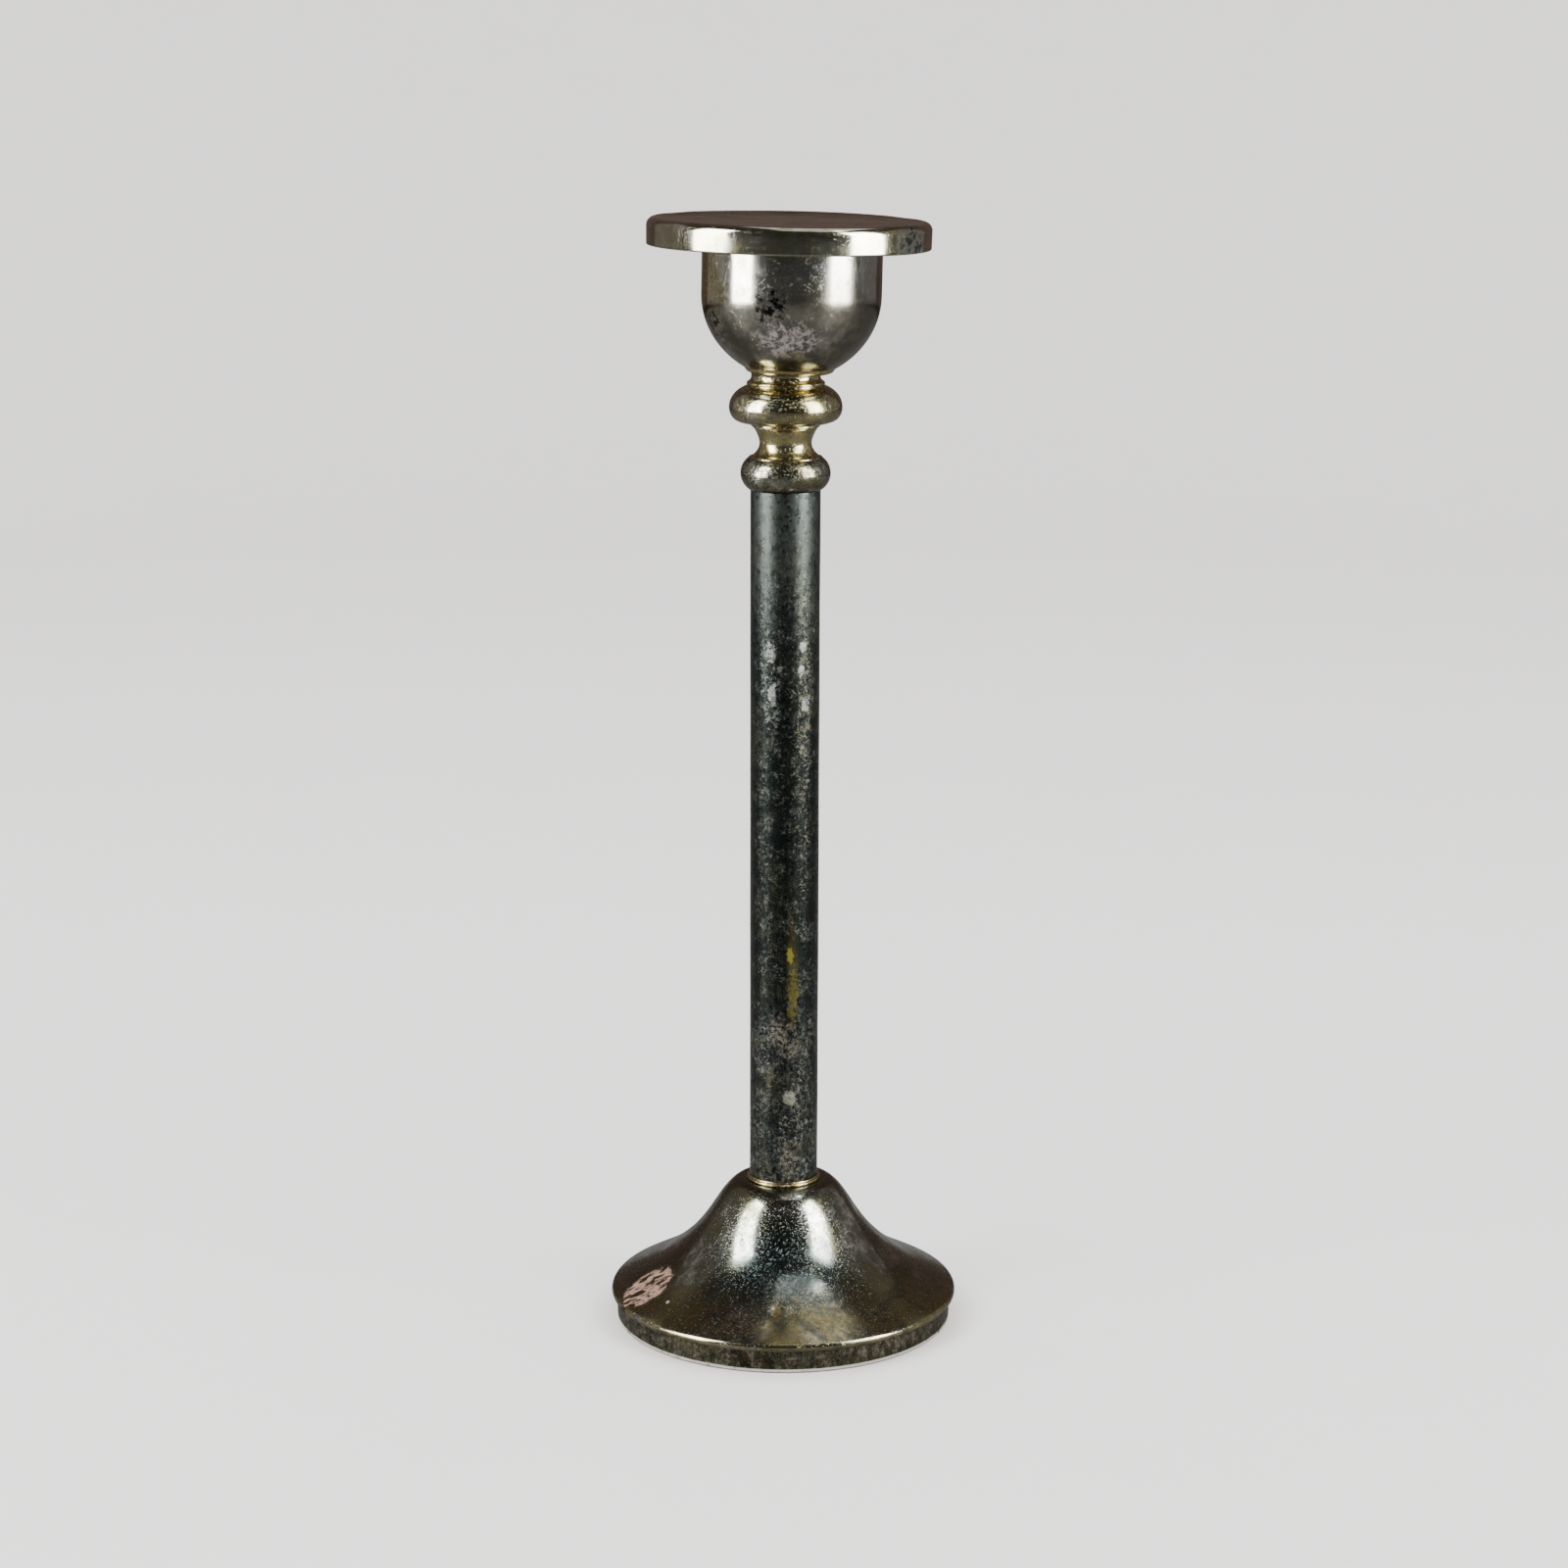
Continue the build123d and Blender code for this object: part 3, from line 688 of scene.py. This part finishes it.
def make_collar():
    z0, z1 = low("column_collar"), high("column_collar")
    foot, crown, bead = 11.4, 11.3, z0 + 1.0
    outline = run((BORE, z0), (foot, z0)) + arc((foot, z0), (11.88, z0 + 0.5), (foot, bead), 0.12)
    outline += arc((foot, bead), (11.55, z0 + 1.3), (crown, z1), 0.1)
    outline += run((crown, z1), (BORE, z1)) + run((BORE, z1), (BORE, z0))
    return lathe("column_collar_turned", outline, segments=192, relief=turned_waves(5, 0.05, 2.2))


def make_column():
    z0, z1, r = low("column_tube"), high("column_tube"), high("column_tube", 0)
    outline = softened([(r - 1, z0), (r, z0), (r, z1), (r - 1, z1)], 0.3, 1.2)
    return lathe("column_tube_drawn", outline, segments=192, relief=turned_waves(30, 0.08, 1.3))


def make_lower_ring():
    z0, z1, r = low("lower_ring"), high("lower_ring"), high("lower_ring", 0)
    foot, crown, widest = 11.4, 11.7, z0 + 0.53 * (z1 - z0)
    outline = run((BORE, z0), (foot, z0)) + arc((foot, z0), (r, widest), (crown, z1), 0.3)
    outline += run((crown, z1), (BORE, z1)) + run((BORE, z1), (BORE, z0))
    return lathe("lower_ring_turned", outline, segments=224, relief=turned_waves(9, 0.10, 5.5))


def make_spool():
    z0, z1 = low("neck_spool"), high("neck_spool")
    foot, waist, crown = 11.5, 8.2, 10.2
    outline = run((BORE, z0), (foot, z0)) + run((foot, z0), (foot, z0 + 0.4), 0.2)
    side = [(foot, z0 + 0.4), (9.1, z0 + 2.05), (waist, z0 + 4.0), (8.75, z0 + 6.9), (crown, z1 - 0.2)]
    outline += spline(side, (-1, 0.1), (0.8, 1), 0.25)
    outline += run((crown, z1 - 0.2), (crown, z1), 0.1)
    outline += run((crown, z1), (BORE, z1)) + run((BORE, z1), (BORE, z0))
    return lathe("neck_spool_turned", outline, segments=192, relief=turned_waves(6, 0.06, 8.1))


def make_fillet_ring():
    z0, z1, r = low("fillet_ring"), high("fillet_ring"), high("fillet_ring", 0)
    outline = softened([(BORE, z0), (r, z0), (r, z1), (BORE, z1)], 0.35)
    return lathe("fillet_ring_turned", outline, segments=192, relief=turned_waves(6, 0.04, 9.4))


def make_knop():
    z0, z1 = low("knop"), high("knop")
    foot, widest, fillet, crown = 11.6, 17.75, 12.0, 10.9
    shelf, neck = z0 + 12.0, z0 + 13.0
    ball = [(foot, z0), (16.3, z0 + 1.4), (widest, z0 + 4.9), (16.4, z0 + 8.9), (fillet, shelf - 0.15)]
    outline = run((BORE, z0), (foot, z0)) + spline(ball, (1, 0.12), (-1, 0.35), 0.3)
    outline += run((fillet, shelf - 0.15), (fillet, shelf), 0.1)
    outline += arc((fillet, shelf), (12.3, shelf + 0.5), (fillet, neck), 0.12)
    outline += arc((fillet, neck), (11.05, neck + 0.9), (crown, z1), 0.2)
    outline += run((crown, z1), (BORE, z1)) + run((BORE, z1), (BORE, z0))
    return lathe("knop_turned", outline, segments=256, relief=turned_waves(10, 0.12, 4.4))


def make_cup_ring():
    foot, crown = 12.2, 14.2
    outline = run((CUP_BORE, 0), (foot, 0)) + arc((foot, 0), (13.6, 0.6), (crown, CUP_FLOOR), 0.2)
    outline += run((crown, CUP_FLOOR), (CUP_BORE, CUP_FLOOR)) + run((CUP_BORE, CUP_FLOOR), (CUP_BORE, 0))
    return lathe("cup_foot_ring_turned", outline, CUP_FRAME, 224, turned_waves(8, 0.06, 6.2))


def ellipse(start, end, wide, tall, level, step=0.01):
    """Points of an ellipse about the axis from one angle to another, without its end."""
    count = int(abs(end - start) / step)
    turns = np.linspace(start, end, count, endpoint=False)
    return [np.array((wide * np.cos(t), level + tall * np.sin(t))) for t in turns]


def make_cup():
    radius, rise, level = 28.0, 26.5, 24.4
    begin = -np.arcsin((level - CUP_FLOOR) / rise)
    outer = run((CUP_BORE, CUP_FLOOR), (radius * np.cos(begin), CUP_FLOOR))
    outer += ellipse(begin, 0, radius, rise, level, 0.018)
    wall_end = CUP_HEIGHT - 0.35
    outer += run((radius, level), (radius, wall_end), 0.7)
    lip = arc((radius, wall_end), (radius - 0.5, CUP_HEIGHT), (radius - SHEET, wall_end), 0.12)
    inner = beside(outer, -SHEET)[::-1]
    inner = [p for p in inner if p[1] >= CUP_FLOOR + SHEET - 1e-6 and p[0] >= CUP_BORE]
    dents = [(285, 24.5, 12, 5, 0.12), (200, 28, 30, 8, 0.2), (60, 27.5, 20, 7, 0.15)]
    relief = dented(22, 0.14, 11.3, dents)
    return lathe("cup_spun", outer + lip + inner, CUP_FRAME, 320, relief)


def make_pan():
    dish, crest, radius = 37.0, 1.75, 44.15
    bottom = crest - 8.5
    plate = run((0, SHEET), (dish, SHEET), 1.0)
    rise = spline([(dish, SHEET), (39.3, 1.37), (41.6, crest)], (1, 0), (1, 0), 0.4)
    shoulder = arc((41.6, crest), (43.35, 1.0), (radius, -0.75), 0.2)
    rim = run((radius, -0.75), (radius - 0.12, bottom + 0.55), 0.4)
    outer = plate + rise + shoulder + rim
    hem = arc((radius - 0.12, bottom + 0.55), (radius - 0.62, bottom), (radius - 1.12, bottom + 0.55), 0.12)
    inner = beside(outer, SHEET)[::-1]
    inner[-1] = np.array((0.0, 0.0))
    dents = [(240, 44, -3, 5, 0.12), (305, 44, -4, 4, 0.10), (150, 44, -3, 7, 0.25), (30, 44, -2, 6, 0.2)]
    relief = dented(28, 0.12, 15.8, dents)
    return lathe("drip_pan_spun", outer + hem + inner, PAN_FRAME, 360, relief)


def make_pan_collar():
    outline = softened([(24.4, -6), (25.2, -6), (25.2, 0), (24.4, 0)], 0.2)
    return lathe("pan_collar_turned", outline, PAN_FRAME, 224, turned_waves(12, 0.05, 1.9))


THREAD = 1.0        # mm, pitch of the rod's thread
THREADED = 14.0     # mm, length of the thread at the rod's top end
FLATS = 10.0        # mm across the nut's flats


def make_rod():
    """Threaded at its top end, where the nut holds the cup."""
    z0, z1, r = low("tie_rod"), high("tie_rod"), high("tie_rod", 0)
    start = z1 - THREADED
    outline = run((0, z0), (r, z0), 1.0) + run((r, z0), (r, start), 8.0)
    outline += run((r, start), (r, z1 - 0.5), 0.1) + run((r, z1 - 0.5), (r - 0.5, z1), 0.1)
    outline += run((r - 0.5, z1), (0, z1), 0.5) + [np.array((0.0, z1))]

    def thread(place, angle):
        if place.z < start or (place.x**2 + place.y**2) ** 0.5 < r - 0.45:
            return 0.0
        turn = (place.z / THREAD - angle / (2 * np.pi)) % 1.0
        return -0.55 * abs(2 * turn - 1) * min(1.0, (place.z - start) / 2.0)

    return lathe("tie_rod_threaded", outline, segments=64, relief=thread)


def make_nut():
    """Hexagon with chamfered corners."""
    z0, z1 = low("cup_nut"), high("cup_nut")
    corner_reach = FLATS / np.sqrt(3)
    wall = run((corner_reach, z0), (corner_reach, z1), 0.12)
    outline = run((3.0, z0), (corner_reach, z0), 0.4) + wall
    outline += run((corner_reach, z1), (3.4, z1), 0.4) + run((3.4, z1), (3.0, z1 - 0.4), 0.1)
    outline += run((3.0, z1 - 0.4), (3.0, z0), 1.0)

    def hexagon(place, angle):
        reach = (place.x**2 + place.y**2) ** 0.5
        flat = FLATS / 2 / np.cos((angle % (np.pi / 3)) - np.pi / 6)
        bevel = FLATS * 0.47 + 1.7 * min(place.z - z0 + 0.2, z1 - place.z)
        return min(0.0, min(flat, bevel) - reach)

    nut = lathe("cup_nut_cut", outline, segments=180)
    for vertex in nut.data.vertices:
        place = vertex.co / MM
        push = hexagon(place, np.arctan2(place.y, place.x))
        reach = np.hypot(place.x, place.y)
        vertex.co.x *= (reach + push) / reach
        vertex.co.y *= (reach + push) / reach
    nut.data.set_sharp_from_angle(angle=np.radians(25))
    return nut


def make_washer():
    lo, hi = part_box("cup_washer")
    thick, r, bore = 1.6, 9.0, 3.4
    turning = axis_frame((Vector(lo) + Vector(hi)) / 2 - LEAN * thick / 2 * MM)
    outline = softened([(bore, 0), (r, 0), (r, thick), (bore, thick)], 0.3)
    return lathe("cup_washer_stamped", outline, turning, 128, turned_waves(6, 0.05, 3.3))


def make_felt():
    z1, r = high("felt_pad"), high("felt_pad", 0)
    outline = run((0, 0), (r - 0.4, 0), 1.5) + arc((r - 0.4, 0), (r - 0.1, 0.12), (r, 0.4), 0.1)
    outline += run((r, 0.4), (r, z1)) + run((r, z1), (0, z1), 1.5) + [np.array((0.0, z1))]
    return lathe("felt_pad_cut", outline, segments=192)


finished = [
    (make_bell(), "base_bell", "candlestick", "silver_plate",
     patina("bell_plate", film=0.62, dark=0.62, teal=0.6, pits=0.26, flecks=0.14, rough=0.075,
            gold=bell_gold, extra=bell_wear)),
    (make_band(), "foot_band", "candlestick", "silver_plate",
     patina("band_plate", film=0.8, dark=0.8, teal=0.2, pits=0.4, flecks=0.15, rough=0.18,
            clean=(0.062, 0.052, 0.040), film_tone=(0.040, 0.032, 0.023), dark_tone=(0.010, 0.008, 0.007),
            extra=band_wear_and_painted_reflection)),
    (make_collar(), "column_collar", "candlestick", "worn_brass",
     patina("collar_brass", dark=0.45, gold=all_gold, pits=0.35, rough=0.15)),
    (make_column(), "column_tube", "candlestick", "silver_plate",
     patina("column_plate", film=0.3, dark=0.7, teal=0.8, pits=0.3, flecks=0.12, rough=0.21,
            clean=(0.10, 0.115, 0.105), film_tone=(0.075, 0.075, 0.05),
            dark_tone=(0.018, 0.024, 0.023), extra=column_wear_and_painted_sheen)),
    (make_lower_ring(), "lower_ring", "candlestick", "silver_plate",
     patina("ring_plate", film=0.6, dark=0.62, pits=0.42, flecks=0.15, rough=0.09)),
    (make_spool(), "neck_spool", "candlestick", "worn_brass",
     patina("spool_brass", film=0.8, dark=0.3, teal=0.1, gold=all_gold, pits=0.28, flecks=0.05,
            rough=0.12)),
    (make_fillet_ring(), "fillet_ring", "candlestick", "worn_brass",
     patina("fillet_brass", film=0.8, dark=0.4, teal=0.1, gold=all_gold, pits=0.3, rough=0.15)),
    (make_knop(), "knop", "candlestick", "silver_plate",
     patina("knop_plate", film=0.7, dark=0.45, teal=0.3, gold=knop_gold, pits=0.34, flecks=0.1,
            rough=0.09)),
    (make_cup_ring(), "cup_foot_ring", "candlestick", "worn_brass",
     patina("cup_ring_brass", CUP_FRAME, film=0.8, dark=0.25, teal=0.1, gold=all_gold, pits=0.25,
            rough=0.12)),
    (make_cup(), "cup", "candlestick", "silver_plate",
     patina("cup_plate", CUP_FRAME, film=0.45, dark=0.3, teal=0.4, pits=0.16, flecks=0.08, rough=0.09,
            gold=cup_gold, extra=cup_wear_and_painted_light)),
    (make_pan(), "drip_pan", "pan", "silver_plate",
     patina("pan_plate", PAN_FRAME, film=0.45, dark=0.22, teal=0.4, pits=0.12, flecks=0.05,
            rough=0.075, extra=pan_wear_and_painted_reflection)),
    (make_pan_collar(), "pan_collar", "pan", "worn_brass",
     patina("pan_collar_brass", PAN_FRAME, film=0.8, dark=0.5, teal=0.2, gold=all_gold, pits=0.3,
            rough=0.2)),
]
for piece, node, body, slot, material in finished:
    stand_for(piece, node, body, material)


# ---- felt, steel and iron ----------------------------------------------------------
def plain_metal(name, colour, stain, rough, grain):
    s = Shader(name)
    cloud = s.noise(4, 5, 0.6)
    s.link(s.mix(s.between(cloud, 0.42, 0.68), colour, stain), s.bsdf.inputs["Base Color"])
    s.link(s.between(cloud, 0.3, 0.7, rough, rough + 0.2), s.bsdf.inputs["Roughness"])
    s.link(s.bump(s.noise(grain, 4, 0.6), 0.4, 0.05), s.bsdf.inputs["Normal"])
    s.bsdf.inputs["Metallic"].default_value = 1.0
    return s.material


def felt_cloth():
    s = Shader("green_baize")
    fibre = s.noise(0.5, 5, 0.7, 1.5)
    tones = (0.012, 0.060, 0.030), (0.035, 0.120, 0.060)
    s.link(s.mix(s.between(fibre, 0.35, 0.7), *tones), s.bsdf.inputs["Base Color"])
    s.link(s.bump(fibre, 0.8, 0.25), s.bsdf.inputs["Normal"])
    s.bsdf.inputs["Roughness"].default_value = 0.95
    s.bsdf.inputs["Sheen Weight"].default_value = 0.4
    return s.material


STEEL = plain_metal("dull_steel", (0.36, 0.35, 0.33), (0.16, 0.12, 0.09), 0.32, 0.6)
IRON = plain_metal("rough_iron", (0.07, 0.07, 0.07), (0.12, 0.07, 0.045), 0.6, 0.9)
INNER_BRASS = patina("inner_brass", film=0.8, dark=0.4, teal=0.1, gold=all_gold, rough=0.25)

stand_for(make_felt(), "felt_pad", "candlestick", felt_cloth())

for piece, node in ((make_rod(), "tie_rod"), (make_nut(), "cup_nut"), (make_washer(), "cup_washer")):
    stand_for(piece, node, "candlestick", STEEL)

hidden = {
    "bell_backing_disc": STEEL,
    "base_lock_washer": STEEL,
    "base_nut": STEEL,
    "base_plate": STEEL,
    "base_weight": IRON,
    "column_top_plug": INNER_BRASS,
    "column_bottom_plug": INNER_BRASS,
}
for node, material in hidden.items():
    mesh = frame["nodes"][node].data
    mesh.materials.clear()
    mesh.materials.append(material)


# ---- floor, light and camera -------------------------------------------------------
COVE = 1700.0       # mm, where the floor starts to rise into the backdrop all round
CARD = 2300.0       # mm, radius of the grey card that the metal mirrors in place of the floor
STRIP = 0.50, 1.20  # m, size of the two tall lights in front
STRIP_LEVEL = 0.78  # m, height of their middle
SIDE = 1.2, 1.5     # m, size of the dim panels at the sides


def make_floor():
    """Pale floor with a backdrop that rises all round, and the grey card lying on it."""
    rise = arc((COVE, 0), (COVE + 960, 400), (COVE + 1350, 1350), 60)
    dish = [(0, 0), (450, 0), *rise, (COVE + 1350, 1350), (COVE + 1350, 3600)]
    pale, grey = ((0.78, 0.765, 0.755), (0.80, 0.785, 0.775)), ((0.055, 0.053, 0.050), (0.10, 0.097, 0.093))
    for name, outline, tones in (("floor", dish, pale), ("card", [(0, 0.2), (CARD, 0.2)], grey)):
        s = Shader(name + "_paper")
        s.link(s.mix(s.noise(60, 5, 0.6), *tones), s.bsdf.inputs["Base Color"])
        s.bsdf.inputs["Roughness"].default_value = 0.75
        ground = lathe(name, outline, segments=128, closed=False)
        ground.data.materials.append(s.material)
        mirrored = name == "card"
        ground.visible_glossy = mirrored
        ground.visible_camera = ground.visible_diffuse = ground.visible_shadow = not mirrored


def softbox(name, angle, distance, middle, size, radiance, aim, lights):
    """Rectangular light; angle in degrees from the front towards +X, size across and up in m.

    lights is "glossy" where only the metal mirrors it, "diffuse" where it reaches only matt surfaces.
    """
    light = bpy.data.lights.new(name, "AREA")
    light.shape = "RECTANGLE"
    light.size, light.size_y = size
    light.energy = radiance * np.pi * size[0] * size[1]
    lamp = bpy.data.objects.new(name, light)
    turn = np.radians(angle)
    lamp.location = (distance * np.sin(turn), -distance * np.cos(turn), middle)
    lamp.rotation_euler = (Vector(aim) - lamp.location).to_track_quat("-Z", "Y").to_euler()
    lamp.visible_glossy = lights == "glossy"
    lamp.visible_diffuse = lights == "diffuse"
    bpy.context.scene.collection.objects.link(lamp)


def make_world():
    """Dim room for the metal to mirror, lighter behind the object than in front."""
    world = bpy.data.worlds.new("studio")
    bpy.context.scene.world = world
    world.use_nodes = True
    tree = world.node_tree
    room = tree.nodes["Background"]
    place = tree.nodes.new("ShaderNodeTexCoord")
    parts = tree.nodes.new("ShaderNodeSeparateXYZ")
    half = tree.nodes.new("ShaderNodeMath")
    half.operation = "MULTIPLY_ADD"
    half.inputs[1].default_value = half.inputs[2].default_value = 0.5
    ramp = tree.nodes.new("ShaderNodeValToRGB")
    front, back = ramp.color_ramp.elements
    front.position, front.color = 0.45, (0.045, 0.048, 0.050, 1)
    back.position, back.color = 0.95, (0.125, 0.092, 0.078, 1)
    tree.links.new(place.outputs["Generated"], parts.inputs[0])
    tree.links.new(parts.outputs["Y"], half.inputs[0])
    tree.links.new(half.outputs[0], ramp.inputs["Fac"])
    tree.links.new(ramp.outputs["Color"], room.inputs["Color"])


def make_camera():
    """Long lens in front and a little above, as an eye looks at a table piece."""
    data = bpy.data.cameras.new("camera")
    data.lens, data.sensor_width = 80.1, 36.0
    camera = bpy.data.objects.new("camera", data)
    pitch, roll = np.radians(12.58), np.radians(0.166)
    camera.location = (-0.0002, -1.0854, 0.4201)
    look = Matrix.Rotation(np.pi / 2 - pitch, 4, "X") @ Matrix.Rotation(roll, 4, "Z")
    camera.rotation_euler = look.to_euler()
    bpy.context.scene.collection.objects.link(camera)
    bpy.context.scene.camera = camera


make_floor()
for name, angle in (("left_strip", -66), ("right_strip", 64)):
    softbox(name, angle, 1.0, STRIP_LEVEL, STRIP, 26, (0, 0, STRIP_LEVEL), "glossy")
for name, angle in (("left_side", -115), ("right_side", 115)):
    softbox(name, angle, 1.5, 0.80, SIDE, 0.2, (0, 0, 0.5), "glossy")
softbox("top_right", 80, 0.45, 1.30, (0.10, 0.10), 20, (0, 0, 0.2), "glossy")
softbox("ceiling", 143, 0.34, 1.5, (1.4, 0.7), 0.95, (0, 0.25, 0), "glossy")
softbox("overhead", 0, 0.0, 2.6, (4.4, 4.4), 3.0, (0, 0.001, 0), "diffuse")
softbox("left_fill", -55, 1.7, 1.5, (0.9, 0.9), 12, (0, 0, 0.1), "diffuse")
softbox("right_fill", 60, 1.7, 1.5, (0.9, 0.9), 9, (0, 0, 0.1), "diffuse")
make_world()
make_camera()
